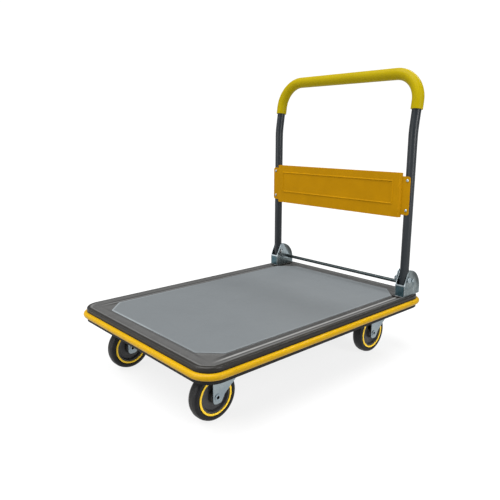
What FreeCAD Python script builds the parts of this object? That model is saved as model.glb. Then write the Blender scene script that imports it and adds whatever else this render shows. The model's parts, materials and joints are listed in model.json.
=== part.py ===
"""Folding platform cart: steel deck, fold-down handle and four swivel casters.

Millimetres. X is the width, Y the length with the handle at +Y, Z is up.
The origin is on the floor, below the middle of the deck.
"""
import FreeCAD, Part
import math
import os
from types import SimpleNamespace

import Sketcher
from FreeCAD import Placement, Rotation, Vector

# ---------------------------------------------------------------- dimensions

DIMENSIONS = {
    # deck pan
    "deck_length": 856, "deck_width": 600, "deck_corner": 48, "deck_top": 186.5, "skirt_bottom": 146,
    "skirt_gauge": 2, "deck_edge_round": 6, "deck_underside": 179.5,
    "lip_inset": 12, "lip_underside": 184,
    "trough_start": 9, "trough_end": 26, "trough_floor": 181.5, "field_top": 183.3,
    # mat glued on the raised field
    "mat_length": 764, "mat_width": 500, "mat_chamfer": 50, "mat_gauge": 1.8, "mat_edge_round": 0.8,
    "field_margin": 1, "field_slope": 9,
    # bumper strip
    "bumper_height": 16, "bumper_depth": 10, "bumper_level": 164.5, "bumper_round": 7.8,
    # members under the deck
    "member_bottom": 156.5, "member_width": 112, "member_span": 588, "member_gauge": 2.5,
    "stringer_offset": 88, "stringer_width": 46, "stringer_gauge": 2,
    # hinge brackets
    "hinge_offset": 275, "bracket_front": 337, "bracket_rear": 421, "bracket_half": 16.5,
    "bracket_gauge": 2.5, "bracket_plate_top": 223, "cheek_shoulder": 358,
    "cheek_centre_reach": 358, "cheek_centre_level": 204.5, "cheek_radius": 63,
    "boss_half": 22, "boss_front": 331, "boss_rear": 424,
    "bracket_bolt_front": 359, "bracket_bolt_rear": 408,
    # handle
    "handle_reach": 357, "tube_radius": 13.5, "tube_wall": 2, "tube_tail": 214.5, "lean_start": 661.5,
    "lean_radius": 250, "lean_angle": 8.5, "handle_top": 848.5, "top_bend": 82,
    "grip_radius": 17.5, "grip_end": 744.5, "plug_length": 10, "plug_rim": 2,
    # fold pivot
    "pivot_level": 237.5, "pivot_bolt_radius": 5, "pivot_fit": 0.06, "pivot_head_radius": 8.5,
    "pivot_head_height": 3.5, "pivot_nut_height": 3.5,
    # latch bar
    "bar_reach": 386, "bar_level": 217, "bar_radius": 5.5, "bar_half": 286, "bar_travel": 18,
    "slot_clearance": 0.7, "arm_gauge": 3, "arm_gap": 1, "arm_hub": 14, "arm_eye": 10.5,
    "arm_top_reach": 3, "arm_top_rise": 21, "arm_top_radius": 8.5,
    "spring_wire": 0.7, "spring_radius": 7.4, "spring_turns": 2,
    "spring_gap": 0.1, "spring_seat": 0.4, "spring_steps": 20,
    "anchor_reach": 379, "anchor_level": 232.5, "anchor_radius": 3,
    "anchor_head_radius": 4.5, "anchor_head_height": 2,
    # back panel
    "panel_bottom": 429.5, "panel_top": 562.5, "panel_front": 334, "panel_half": 253, "panel_flare": 5,
    "panel_gauge": 1.2, "tab_half_outer": 285, "tab_bottom": 437.5, "tab_top": 552.5, "tab_round": 7,
    "emboss_half": 233, "emboss_bottom": 466.5, "emboss_top": 540.5, "emboss_depth": 1.6, "emboss_slope": 2,
    "bead_width": 6,
    "screw_low": 451.5, "screw_high": 540.5, "screw_radius": 2.5, "screw_head_radius": 4.5,
    "screw_head_height": 2.4,
    # casters
    "caster_offset": 200, "front_kingpin": -306, "rear_kingpin": 319, "caster_trail": 28,
    "axle_level": 63.5, "plate_length": 104, "plate_width": 82, "plate_gauge": 3.5, "plate_corner": 8,
    "plate_hole_x": 42, "plate_hole_y": 31, "plate_hole_radius": 4.25,
    "race_radius": 32, "race_wall": 2.5, "race_drop": 11, "race_roof": 6.2,
    "lower_race_radius": 28.8, "lower_race_height": 5.6,
    "ball_radius": 3, "ball_ring": 22, "ball_count": 12,
    "swivel_gap": 0.3, "kingpin_radius": 6, "kingpin_head_radius": 11, "kingpin_nut_height": 6,
    "fork_top": 137.5, "fork_gauge": 3, "fork_half": 21.5, "fork_lead": 13, "fork_heel": 71,
    "fork_heel_level": 44, "fork_bend": 3.5, "fork_toe_drop": 16.5, "fork_toe_reach": 10.5,
    "fork_waist_reach": 22, "fork_waist_rise": 3.3, "fork_toe_round": 10,
    # wheels
    "wheel_radius": 63.5, "wheel_half": 16, "tyre_inner": 43.3, "side_half": 13.5, "ring_outer": 48.3,
    "ring_half": 15.6, "hub_radius": 15, "hub_half": 17.6, "web_half": 7, "web_outer": 39,
    "bearing_radius": 10, "axle_radius": 6, "axle_fit": 0.06, "axle_bore": 4, "axle_flange_radius": 8.5,
    "axle_flange_height": 1.6,
    # bolts of the casters and brackets
    "bolt_radius": 4, "bolt_head_radius": 7.4, "bolt_head_height": 5.2, "nut_height": 6.4, "bolt_tip": 2,
}


class Dim:
    """A length kept both as a number and as a spreadsheet expression."""

    def __init__(self, value, text):
        self.value = value
        self.text = text

    @staticmethod
    def of(item):
        return item if isinstance(item, Dim) else Dim(item, repr(item))

    def join(self, other, sign, value):
        return Dim(value, f"({self.text} {sign} {other.text})")

    def __add__(self, other):
        other = Dim.of(other)
        return self.join(other, "+", self.value + other.value)

    def __sub__(self, other):
        other = Dim.of(other)
        return self.join(other, "-", self.value - other.value)

    def __mul__(self, other):
        other = Dim.of(other)
        return self.join(other, "*", self.value * other.value)

    def __truediv__(self, other):
        other = Dim.of(other)
        return self.join(other, "/", self.value / other.value)

    def __radd__(self, other):
        return Dim.of(other) + self

    def __rsub__(self, other):
        return Dim.of(other) - self

    def __rmul__(self, other):
        return Dim.of(other) * self

    def __neg__(self):
        return self * -1


doc = FreeCAD.newDocument("PlatformCart")
sheet = doc.addObject("Spreadsheet::Sheet", "Dims")
for row, (alias, number) in enumerate(DIMENSIONS.items(), start=1):
    sheet.set(f"A{row}", alias)
    sheet.set(f"B{row}", str(number))
    sheet.setAlias(f"B{row}", alias)
doc.recompute()
d = SimpleNamespace(**{alias: Dim(float(sheet.get(alias)), f"Dims.{alias}") for alias in DIMENSIONS})

nodes = {}

# ------------------------------------------------------------------- helpers

UPRIGHT = Rotation()
ALONG_X = Rotation(Vector(0, 1, 0), 90)
ALONG_Y = Rotation(Vector(1, 0, 0), -90)


def bind(obj, **sizes):
    for prop, size in sizes.items():
        obj.setExpression(prop, Dim.of(size).text)
    return obj


def put(obj, x, y, z, turn=UPRIGHT):
    """Place an object at a point bound to the sheet, turned by a fixed rotation."""
    place = [Dim.of(item) for item in (x, y, z)]
    obj.Placement = Placement(Vector(*[item.value for item in place]), turn)
    for letter, item in zip("xyz", place):
        obj.setExpression(f"Placement.Base.{letter}", item.text)
    return obj


def box(name, low, size):
    obj = bind(doc.addObject("Part::Box", name), Length=size[0], Width=size[1], Height=size[2])
    return put(obj, *low)


def cylinder(name, base, radius, height, turn=UPRIGHT):
    obj = bind(doc.addObject("Part::Cylinder", name), Radius=radius, Height=height)
    return put(obj, *base, turn)


def hexagon(name, base, radius, height, turn=UPRIGHT):
    obj = bind(doc.addObject("Part::Prism", name), Circumradius=radius, Height=height)
    obj.Polygon = 6
    return put(obj, *base, turn)


def union(name, parts):
    obj = doc.addObject("Part::MultiFuse", name)
    obj.Shapes = parts
    obj.Refine = True
    return obj


def minus(name, base, tools):
    tool = tools[0] if len(tools) == 1 else union(f"{name}_tools", tools)
    obj = doc.addObject("Part::Cut", name)
    obj.Base = base
    obj.Tool = tool
    obj.Refine = True
    return obj


def overlap(name, parts):
    obj = doc.addObject("Part::MultiCommon", name)
    obj.Shapes = parts
    return obj


def group(name, parts):
    """Separate solids that share one node."""
    obj = doc.addObject("Part::Compound", name)
    obj.Links = parts
    return obj


def node(name, obj):
    obj.Label = name
    nodes[name] = obj
    return obj


def computed(name, shape):
    """A piece whose shape comes from Part's own functions."""
    obj = doc.addObject("Part::Feature", name)
    obj.Shape = shape
    return obj


def new_body(name):
    return doc.addObject("PartDesign::Body", name)


def plane_of(body, role):
    return next(item for item in body.Origin.OriginFeatures if item.Role == role)


def sketch_on(body, name, role, level=0):
    """A sketch on one of the body's own origin planes, moved out along its normal."""
    sketch = body.newObject("Sketcher::SketchObject", name)
    sketch.AttachmentSupport = (plane_of(body, role), [""])
    sketch.MapMode = "FlatFace"
    sketch.setExpression("AttachmentOffset.Base.z", Dim.of(level).text)
    return sketch


def outline(sketch, corners):
    """A closed polygon whose corners are bound to the sheet."""
    corners = [(Dim.of(across), Dim.of(along)) for across, along in corners]
    first = sketch.GeometryCount
    for index, (across, along) in enumerate(corners):
        next_across, next_along = corners[(index + 1) % len(corners)]
        start = Vector(across.value, along.value, 0)
        sketch.addGeometry(Part.LineSegment(start, Vector(next_across.value, next_along.value, 0)))
    for index, (across, along) in enumerate(corners):
        following = first + (index + 1) % len(corners)
        sketch.addConstraint(Sketcher.Constraint("Coincident", first + index, 2, following, 1))
        for kind, item in (("DistanceX", across), ("DistanceY", along)):
            number = sketch.addConstraint(Sketcher.Constraint(kind, -1, 1, first + index, 1, item.value))
            sketch.setExpression(f"Constraints[{number}]", item.text)
    return sketch


def pad(body, name, sketch, height, midplane=False):
    feature = body.newObject("PartDesign::Pad", name)
    feature.Profile = sketch
    feature.Midplane = midplane
    return bind(feature, Length=height)


def dress(body, kind, name, edges_of, chosen, **sizes):
    """Fillet or chamfer the chosen edges of a body's last feature."""
    doc.recompute()
    names = [f"Edge{number}" for number, edge in enumerate(edges_of.Shape.Edges, start=1) if chosen(edge)]
    feature = body.newObject(f"PartDesign::{kind}", name)
    feature.Base = (edges_of, names)
    return bind(feature, **sizes)


def upright(edge):
    first, last = edge.firstVertex().Point, edge.lastVertex().Point
    return math.hypot(first.x - last.x, first.y - last.y) < 1e-6 and abs(first.z - last.z) > 1e-6


def at_level(level):
    def test(edge):
        return abs(edge.BoundBox.ZMin - level.value) < 1e-4 and abs(edge.BoundBox.ZMax - level.value) < 1e-4
    return test


def rectangle(half_width, half_length):
    return [(-half_width, -half_length), (half_width, -half_length),
            (half_width, half_length), (-half_width, half_length)]


def octagon(half_width, half_length, chamfer):
    """A rectangle with its four corners cut at 45 degrees, counter-clockwise from the front edge."""
    return [(half_width - chamfer, -half_length), (half_width, -half_length + chamfer),
            (half_width, half_length - chamfer), (half_width - chamfer, half_length),
            (-half_width + chamfer, half_length), (-half_width, half_length - chamfer),
            (-half_width, -half_length + chamfer), (-half_width + chamfer, -half_length)]


def rounded_block(name, half_width, half_length, corner, low, high):
    """A plate with four rounded upright corners."""
    body = new_body(name)
    sketch = outline(sketch_on(body, f"{name}_outline", "XY_Plane", low), rectangle(half_width, half_length))
    block = pad(body, f"{name}_pad", sketch, high - low)
    dress(body, "Fillet", f"{name}_corners", block, upright, Radius=corner)
    return body


def frustum(name, low_outline, low, high_outline, high):
    """A solid lofted between two polygons with the same number of corners."""
    body = new_body(name)
    lower = outline(sketch_on(body, f"{name}_low", "XY_Plane", low), low_outline)
    upper = outline(sketch_on(body, f"{name}_high", "XY_Plane", high), high_outline)
    loft = body.newObject("PartDesign::AdditiveLoft", f"{name}_loft")
    loft.Profile = lower
    loft.Sections = [upper]
    loft.Ruled = True
    return body


# ---------------------------------------------------------------------- deck

SIDES = {"right": 1, "left": -1}
PLATE_CORNERS = [(-1, -1), (-1, 1), (1, -1), (1, 1)]
ENDS = {"front": d.front_kingpin, "rear": d.rear_kingpin}

half_width = d.deck_width / 2
half_length = d.deck_length / 2


def inset_block(name, inset, low, high):
    return rounded_block(name, half_width - inset, half_length - inset, d.deck_corner - inset, low, high)


def build_deck():
    """Pressed pan: rolled lip, shallow trough, raised field and a boss under each hinge."""
    shell = new_body("pan_shell")
    sketch = sketch_on(shell, "pan_outline", "XY_Plane", d.skirt_bottom)
    outline(sketch, rectangle(half_width, half_length))
    block = pad(shell, "pan_block", sketch, d.deck_top - d.skirt_bottom)
    corners = dress(shell, "Fillet", "pan_corners", block, upright, Radius=d.deck_corner)
    dress(shell, "Fillet", "pan_rolled_edge", corners, at_level(d.deck_top), Radius=d.deck_edge_round)

    hollow = inset_block("pan_hollow", d.skirt_gauge, d.skirt_bottom - 1, d.deck_underside)
    lip_outer = inset_block("lip_outer", d.skirt_gauge, d.deck_underside - 1, d.lip_underside)
    lip_inner = inset_block("lip_inner", d.lip_inset, d.deck_underside - 2, d.lip_underside + 1)
    lip_groove = minus("lip_groove", lip_outer, [lip_inner])

    trough = frustum("trough", octagon(half_width - d.trough_end, half_length - d.trough_end, d.lip_inset),
                     d.trough_floor, octagon(half_width - d.trough_start, half_length - d.trough_start,
                                             d.deck_corner / 2), d.deck_top)
    field_half = d.mat_width / 2 + d.field_margin
    field_long = d.mat_length / 2 + d.field_margin
    field = frustum("field", octagon(field_half + d.field_slope, field_long + d.field_slope,
                                     d.mat_chamfer + d.field_slope / 2), d.trough_floor - 1,
                    octagon(field_half, field_long, d.mat_chamfer), d.field_top)
    seats = union("boss_seats", [
        box(f"boss_{side}", (sign * d.hinge_offset - d.boss_half, d.boss_front, d.deck_underside),
            (d.boss_half * 2, d.boss_rear - d.boss_front, d.deck_top - d.deck_underside))
        for side, sign in SIDES.items()])
    limit = inset_block("boss_limit", d.deck_edge_round, d.deck_underside - 1, d.deck_top + 1)
    pressed = minus("pan_pressed", shell, [hollow, lip_groove, trough])
    whole = union("pan_whole", [pressed, field, overlap("bosses", [seats, limit])])
    holes = [cylinder(f"pan_hole_{side}_{number}", (sign * d.hinge_offset, reach, d.deck_underside - 1),
                      d.bolt_radius, d.deck_top - d.deck_underside + 2)
             for side, sign in SIDES.items()
             for number, reach in enumerate((d.bracket_bolt_front, d.bracket_bolt_rear))]
    node("deck_pan", minus("pan_drilled", whole, holes))


def build_mat():
    body = new_body("mat_body")
    sketch = sketch_on(body, "mat_outline", "XY_Plane", d.field_top)
    outline(sketch, octagon(d.mat_width / 2, d.mat_length / 2, d.mat_chamfer))
    sheet_pad = pad(body, "mat_sheet", sketch, d.mat_gauge)
    dress(body, "Fillet", "mat_edge", sheet_pad, at_level(d.field_top + d.mat_gauge), Radius=d.mat_edge_round)
    node("deck_mat", body)


def build_bumper():
    """A half-round strip that runs all round the skirt."""
    low = d.bumper_level - d.bumper_height / 2
    high = d.bumper_level + d.bumper_height / 2
    body = new_body("bumper_outer")
    sketch = sketch_on(body, "bumper_outline", "XY_Plane", low)
    outline(sketch, rectangle(half_width + d.bumper_depth, half_length + d.bumper_depth))
    block = pad(body, "bumper_block", sketch, d.bumper_height)
    corners = dress(body, "Fillet", "bumper_corners", block, upright, Radius=d.deck_corner + d.bumper_depth)
    dress(body, "Fillet", "bumper_bead", corners,
          lambda edge: at_level(low)(edge) or at_level(high)(edge), Radius=d.bumper_round)
    core = rounded_block("bumper_core", half_width, half_length, d.deck_corner, low - 1, high + 1)
    node("bumper_strip", minus("bumper_ring", body, [core]))


def build_members():
    """Two cross channels that carry the casters and two stringers between them."""
    rise = d.deck_underside - d.member_bottom
    for end, middle in ENDS.items():
        low = (-d.member_span / 2, middle - d.member_width / 2, d.member_bottom)
        outer = box(f"member_outer_{end}", low, (d.member_span, d.member_width, rise))
        hollow = box(f"member_hollow_{end}", (low[0] - 1, low[1] + d.member_gauge, low[2] + d.member_gauge),
                     (d.member_span + 2, d.member_width - d.member_gauge * 2, rise))
        holes = [cylinder(f"member_hole_{end}_{side}_{number}",
                          (sign * d.caster_offset + across * d.plate_hole_x, middle + along * d.plate_hole_y,
                           d.member_bottom - 1), d.plate_hole_radius, d.member_gauge + 2)
                 for side, sign in SIDES.items() for number, (across, along) in enumerate(PLATE_CORNERS)]
        node(f"cross_member_{end}", minus(f"member_{end}", outer, [hollow] + holes))
    start = d.front_kingpin + d.member_width / 2
    length = d.rear_kingpin - d.front_kingpin - d.member_width
    for side, sign in SIDES.items():
        low = (sign * d.stringer_offset - d.stringer_width / 2, start, d.member_bottom)
        outer = box(f"stringer_outer_{side}", low, (d.stringer_width, length, rise))
        hollow = box(f"stringer_hollow_{side}",
                     (low[0] + d.stringer_gauge, low[1] - 1, low[2] + d.stringer_gauge),
                     (d.stringer_width - d.stringer_gauge * 2, length + 2, rise))
        node(f"stringer_{side}", minus(f"stringer_channel_{side}", outer, [hollow]))


# -------------------------------------------------------------------- hinges

pivot = (d.handle_reach, d.pivot_level)
bar_arm = math.hypot(d.bar_reach.value - d.handle_reach.value, d.bar_level.value - d.pivot_level.value)
bar_angle = math.degrees(math.atan2(d.bar_level.value - d.pivot_level.value,
                                    d.bar_reach.value - d.handle_reach.value))


def turned_point(angle, radius):
    """A point in the YZ plane at an angle and distance from the fold pivot."""
    turn = math.radians(angle)
    return (d.handle_reach.value + radius * math.cos(turn), d.pivot_level.value + radius * math.sin(turn))


def plate_from(points, start, gauge):
    """A flat plate from a closed list of Part edges drawn in the YZ plane."""
    face = Part.Face(Part.Wire(points))
    face.translate(Vector(start, 0, 0))
    return face.extrude(Vector(gauge, 0, 0))


def point(reach, level):
    return Vector(0, reach, level)


def round_circles(circles):
    """Tangents and arcs round circles that are given counter-clockwise as (reach, level, radius)."""
    runs = []
    for (y_1, z_1, r_1), (y_2, z_2, r_2) in zip(circles, circles[1:] + circles[:1]):
        run, rise = y_2 - y_1, z_2 - z_1
        gap = math.hypot(run, rise)
        along = (r_1 - r_2) / gap
        across = math.sqrt(1 - along ** 2)
        out = Vector(0, (run * along + rise * across) / gap, (rise * along - run * across) / gap)
        runs.append((out, point(y_1, z_1) + out * r_1, point(y_2, z_2) + out * r_2))
    edges = []
    for index, (reach, level, radius) in enumerate(circles):
        before, now = runs[index - 1], runs[index]
        middle = (before[0] + now[0]).normalize()
        edges.append(Part.Arc(before[2], point(reach, level) + middle * radius, now[1]).toShape())
        edges.append(Part.LineSegment(now[1], now[2]).toShape())
    return edges


def cheek_edges():
    """Side plate of the bracket: upright front, sloping shoulder and a round back."""
    base = d.deck_top.value
    centre_y, centre_z, radius = d.cheek_centre_reach.value, d.cheek_centre_level.value, d.cheek_radius.value
    shoulder_y = d.cheek_shoulder.value
    shoulder_z = centre_z + math.sqrt(radius ** 2 - (shoulder_y - centre_y) ** 2)
    corners = [point(centre_y + radius, centre_z), point(centre_y + radius, base),
               point(d.bracket_front.value, base), point(d.bracket_front.value, d.bracket_plate_top.value),
               point(shoulder_y, shoulder_z)]
    midway = math.radians(50)
    middle = point(centre_y + radius * math.cos(midway), centre_z + radius * math.sin(midway))
    back = Part.Arc(corners[-1], middle, corners[0]).toShape()
    return [Part.LineSegment(first, last).toShape() for first, last in zip(corners, corners[1:])] + [back]


def bar_slot(start, gauge):
    """Curved slot that the latch bar moves in, centred on the fold pivot."""
    width = d.bar_radius.value + d.slot_clearance.value
    angles = (bar_angle, bar_angle - d.bar_travel.value)
    turn = Vector(1, 0, 0)
    centre = Vector(start, *[item.value for item in pivot])
    ring = Part.makeCylinder(bar_arm + width, gauge, centre, turn).cut(
        Part.makeCylinder(bar_arm - width, gauge, centre, turn))
    spokes = [point(*turned_point(angle, bar_arm * 2)) for angle in angles]
    hub = point(*[item.value for item in pivot])
    wedge = plate_from([Part.LineSegment(first, last).toShape() for first, last in
                        ((hub, spokes[1]), (spokes[1], spokes[0]), (spokes[0], hub))], start, gauge)
    ends = [Part.makeCylinder(width, gauge, Vector(start, *turned_point(angle, bar_arm)), turn)
            for angle in angles]
    return ring.common(wedge).fuse(ends)


def build_brackets():
    """Pressed U bracket: base, low front plate and two round-backed cheeks."""
    gauge, half, offset = d.bracket_gauge.value, d.bracket_half.value, d.hinge_offset.value
    front, base = d.bracket_front.value, d.deck_top.value
    for side, sign in SIDES.items():
        middle = sign * offset
        cheeks = [plate_from(cheek_edges(), start, gauge) for start in (middle - half, middle + half - gauge)]
        floor = Part.makeBox(half * 2, d.bracket_rear.value - front, gauge,
                             Vector(middle - half, front, base))
        apron = Part.makeBox(half * 2, gauge, d.bracket_plate_top.value - base,
                             Vector(middle - half, front, base))
        shape = floor.fuse(cheeks + [apron])
        inner_start = middle - sign * half + (0 if sign > 0 else -gauge)
        shape = shape.cut(bar_slot(inner_start - 1, gauge + 2))
        along_x = Vector(1, 0, 0)
        bore = Part.makeCylinder(d.pivot_bolt_radius.value, half * 2 + 2,
                                 Vector(middle - half - 1, *[item.value for item in pivot]), along_x)
        anchor = Part.makeCylinder(d.anchor_radius.value, gauge + 2,
                                   Vector(middle + sign * half - (gauge + 1 if sign > 0 else 1),
                                          d.anchor_reach.value, d.anchor_level.value), along_x)
        bolts = [Part.makeCylinder(d.bolt_radius.value, gauge + 2, Vector(middle, reach, base - 1))
                 for reach in (d.bracket_bolt_front.value, d.bracket_bolt_rear.value)]
        node(f"hinge_bracket_{side}", computed(f"bracket_{side}",
                                               shape.cut([bore, anchor] + bolts).removeSplitter()))


def bolt(name, place, head_low, nut_low, low, high):
    """Upright hexagon bolt whose shank runs from low to high, with its nut."""
    return union(name, [hexagon(f"{name}_head", (*place, head_low), d.bolt_head_radius, d.bolt_head_height),
                        cylinder(f"{name}_shank", (*place, low), d.bolt_radius, high - low),
                        hexagon(f"{name}_nut", (*place, nut_low), d.bolt_head_radius, d.nut_height)])


def build_bracket_bolts():
    """Four bolts, heads inside the brackets and nuts under the deck."""
    seat = d.deck_top + d.bracket_gauge
    nut = d.deck_underside - d.nut_height
    bolts = [bolt(f"bracket_bolt_{side}_{number}", (sign * d.hinge_offset, reach), seat, nut,
                  nut - d.bolt_tip, seat)
             for side, sign in SIDES.items()
             for number, reach in enumerate((d.bracket_bolt_front, d.bracket_bolt_rear))]
    node("bracket_bolts", group("bracket_bolt_set", bolts))


def build_pivot_bolts():
    """One stepped bolt through each bracket, its nut on the inner side."""
    bolts = []
    coil = (d.spring_wire * 2 + d.spring_gap) * d.spring_turns + d.spring_wire * 2
    inner_seat = d.bracket_half + d.arm_gap + d.arm_gauge + d.spring_seat * 2 + coil
    for side, sign in SIDES.items():
        outer = sign * (d.hinge_offset + d.bracket_half)
        turn = ALONG_X if sign > 0 else Rotation(Vector(0, 1, 0), -90)
        nut = sign * (d.hinge_offset - inner_seat - d.pivot_nut_height)
        bolts.append(union(f"pivot_bolt_{side}", [
            cylinder(f"pivot_head_{side}", (outer, *pivot), d.pivot_head_radius, d.pivot_head_height, turn),
            cylinder(f"pivot_shank_{side}", (nut, *pivot), d.pivot_bolt_radius,
                     d.pivot_nut_height + inner_seat + d.bracket_half, turn),
            hexagon(f"pivot_nut_{side}", (nut, *pivot), d.pivot_head_radius, d.pivot_nut_height, turn)]))
    node("pivot_bolts", group("pivot_bolt_set", bolts))


def build_anchor_rivets():
    """Round rivets that hold the return springs' posts on the outer cheeks."""
    rivets = []
    for side, sign in SIDES.items():
        outer = sign * (d.hinge_offset + d.bracket_half)
        inner = sign * (d.hinge_offset + d.bracket_half - d.bracket_gauge)
        turn = ALONG_X if sign > 0 else Rotation(Vector(0, 1, 0), -90)
        place = (d.anchor_reach, d.anchor_level)
        rivets.append(union(f"anchor_rivet_{side}", [
            cylinder(f"anchor_head_{side}", (outer, *place), d.anchor_head_radius, d.anchor_head_height,
                     turn),
            cylinder(f"anchor_shank_{side}", (inner, *place), d.anchor_radius, d.bracket_gauge, turn)]))
    node("anchor_rivets", group("anchor_rivet_set", rivets))


def build_latch():
    """Foot bar behind the tubes, carried by an arm at each hinge that turns on the pivot bolt."""
    bar = cylinder("latch_bar", (-d.bar_half, d.bar_reach, d.bar_level), d.bar_radius, d.bar_half * 2,
                   ALONG_X)
    node("latch_rod", bar)
    gauge = d.arm_gauge.value
    hub_y, hub_z = (item.value for item in pivot)
    toe = turned_point(bar_angle, bar_arm)
    edges = round_circles([(hub_y, hub_z, d.arm_hub.value), (*toe, d.arm_eye.value),
                           (hub_y + d.arm_top_reach.value, hub_z + d.arm_top_rise.value,
                            d.arm_top_radius.value)])
    along_x = Vector(1, 0, 0)
    for side, sign in SIDES.items():
        inner = sign * (d.hinge_offset.value - d.bracket_half.value - d.arm_gap.value)
        start = inner - gauge if sign > 0 else inner
        arm = plate_from(edges, start, gauge)
        centre = Vector(start - 1, hub_y, hub_z)
        bore = Part.makeCylinder(d.pivot_bolt_radius.value + d.pivot_fit.value, gauge + 2, centre, along_x)
        seat = Part.makeCylinder(d.bar_radius.value, gauge + 2, Vector(start - 1, *toe), along_x)
        node(f"latch_arm_{side}", computed(f"arm_{side}", arm.cut([bore, seat])))


def build_springs():
    """Torsion springs that lift the foot bar, wound round the pivot bolts."""
    wire, radius, turns = d.spring_wire.value, d.spring_radius.value, d.spring_turns.value
    rise = wire * 2 + d.spring_gap.value
    steps = int(turns * d.spring_steps.value)
    springs = []
    for sign in SIDES.values():
        start = sign * (d.hinge_offset.value - d.bracket_half.value - d.arm_gap.value - d.arm_gauge.value
                        - wire - d.spring_seat.value)
        corners = []
        for step in range(steps + 1):
            turn = 2 * math.pi * turns * step / steps
            corners.append(Vector(start - sign * rise * turns * step / steps,
                                  d.handle_reach.value + radius * math.cos(turn),
                                  d.pivot_level.value + radius * math.sin(turn)))
        section = Part.Wire(Part.makeCircle(wire, corners[0], corners[1] - corners[0]))
        springs.append(Part.makePolygon(corners).makePipeShell([section], True, True, 1))
    node("latch_springs", computed("spring_pair", Part.makeCompound(springs)))


# -------------------------------------------------------------------- handle

def handle_path(low):
    """Centre line of the bent handle from one lower end to the other."""
    offset, reach = d.hinge_offset.value, d.handle_reach.value
    lean = math.radians(d.lean_angle.value)
    sweep, bend, top = d.lean_radius.value, d.top_bend.value, d.handle_top.value
    start = d.lean_start.value

    def leaned(level):
        """Reach of the centre line at a level above the lean."""
        above = level - start - sweep * math.sin(lean)
        return reach + sweep * (1 - math.cos(lean)) + above * math.tan(lean)

    def side(sign):
        lean_end = start + sweep * math.sin(lean)
        lean_mid = start + sweep * math.sin(lean / 2)
        bend_start = top - bend * math.cos(lean)
        foot = Vector(sign * offset, reach, low)
        if low > lean_end:
            foot.y = leaned(low)
            edges = []
        else:
            knee = Vector(sign * offset, reach, start)
            middle = Vector(sign * offset, reach + sweep * (1 - math.cos(lean / 2)), lean_mid)
            end = Vector(sign * offset, leaned(lean_end), lean_end)
            edges = [Part.LineSegment(foot, knee).toShape(), Part.Arc(knee, middle, end).toShape()]
            foot = end
        turn = Vector(sign * offset, leaned(bend_start), bend_start)
        crown = Vector(sign * (offset - bend), leaned(top), top)
        halfway = bend * (1 - math.cos(math.radians(45)))
        rise = bend * math.sin(math.radians(45)) * math.cos(lean)
        middle = Vector(sign * (offset - halfway), leaned(bend_start + rise), bend_start + rise)
        edges += [Part.LineSegment(foot, turn).toShape(), Part.Arc(turn, middle, crown).toShape()]
        return edges, crown

    right, right_crown = side(1)
    left, left_crown = side(-1)
    cross = Part.LineSegment(right_crown, left_crown).toShape()
    return Part.Wire(Part.__sortEdges__(right + [cross] + left))


def swept(path, radius):
    """Round bar of one radius along the handle's centre line."""
    edge = path.OrderedEdges[0]
    at = edge.FirstParameter
    begin = edge.valueAt(at)
    towards = edge.tangentAt(at)
    if (begin - path.OrderedVertexes[0].Point).Length > 1e-6:
        begin = edge.valueAt(edge.LastParameter)
        towards = edge.tangentAt(edge.LastParameter)
    section = Part.Wire(Part.makeCircle(radius, begin, towards))
    return path.makePipeShell([section], True, False)


def build_handle():
    path = handle_path(d.tube_tail.value)
    outer, bore = d.tube_radius.value, d.tube_radius.value - d.tube_wall.value
    shape = swept(path, outer).cut(swept(path, bore))
    for sign in SIDES.values():
        middle = sign * d.hinge_offset.value
        hole = Part.makeCylinder(d.pivot_bolt_radius.value + d.pivot_fit.value, outer * 2 + 2,
                                 Vector(middle - outer - 1, *[item.value for item in pivot]), Vector(1, 0, 0))
        screws = [Part.makeCylinder(d.screw_radius.value, outer,
                                    Vector(middle, d.handle_reach.value - outer - 1, level), Vector(0, 1, 0))
                  for level in (d.screw_low.value, d.screw_high.value)]
        shape = shape.cut([hole] + screws)
    node("handle_tube", computed("bent_tube", shape))

    sleeve = handle_path(d.grip_end.value)
    grip = swept(sleeve, d.grip_radius.value).cut(swept(sleeve, outer))
    node("handle_grip", computed("grip_sleeve", grip))

    plugs = []
    for side, sign in SIDES.items():
        place = (sign * d.hinge_offset, d.handle_reach)
        plugs.append(union(f"end_plug_{side}", [
            cylinder(f"plug_core_{side}", (*place, d.tube_tail), d.tube_radius - d.tube_wall, d.plug_length),
            cylinder(f"plug_cap_{side}", (*place, d.tube_tail - d.plug_rim), d.tube_radius, d.plug_rim)]))
    node("handle_end_plugs", group("end_plug_pair", plugs))


def panel_frame(half, inset):
    """Corners of the panel's face, seen from the front, inset all round."""
    return [(-half + inset, d.panel_bottom + inset), (half - inset, d.panel_bottom + inset),
            (half - inset, d.panel_top - inset), (-half + inset, d.panel_top - inset)]


def tray(name, front, front_half, rear, rear_half, inset):
    """Block between the panel's face and its open back, wider at the back."""
    body = new_body(name)
    face = outline(sketch_on(body, f"{name}_face", "XZ_Plane", -front), panel_frame(front_half, inset))
    back = outline(sketch_on(body, f"{name}_back", "XZ_Plane", -rear), panel_frame(rear_half, inset))
    loft = body.newObject("PartDesign::AdditiveLoft", f"{name}_loft")
    loft.Profile = face
    loft.Sections = [back]
    loft.Ruled = True
    return body


def bead_frame(spread):
    """Corners of the bead's outer edge, spread outward all round."""
    half = d.emboss_half + spread
    return [(-half, d.emboss_bottom - spread), (half, d.emboss_bottom - spread),
            (half, d.emboss_top + spread), (-half, d.emboss_top + spread)]


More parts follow.
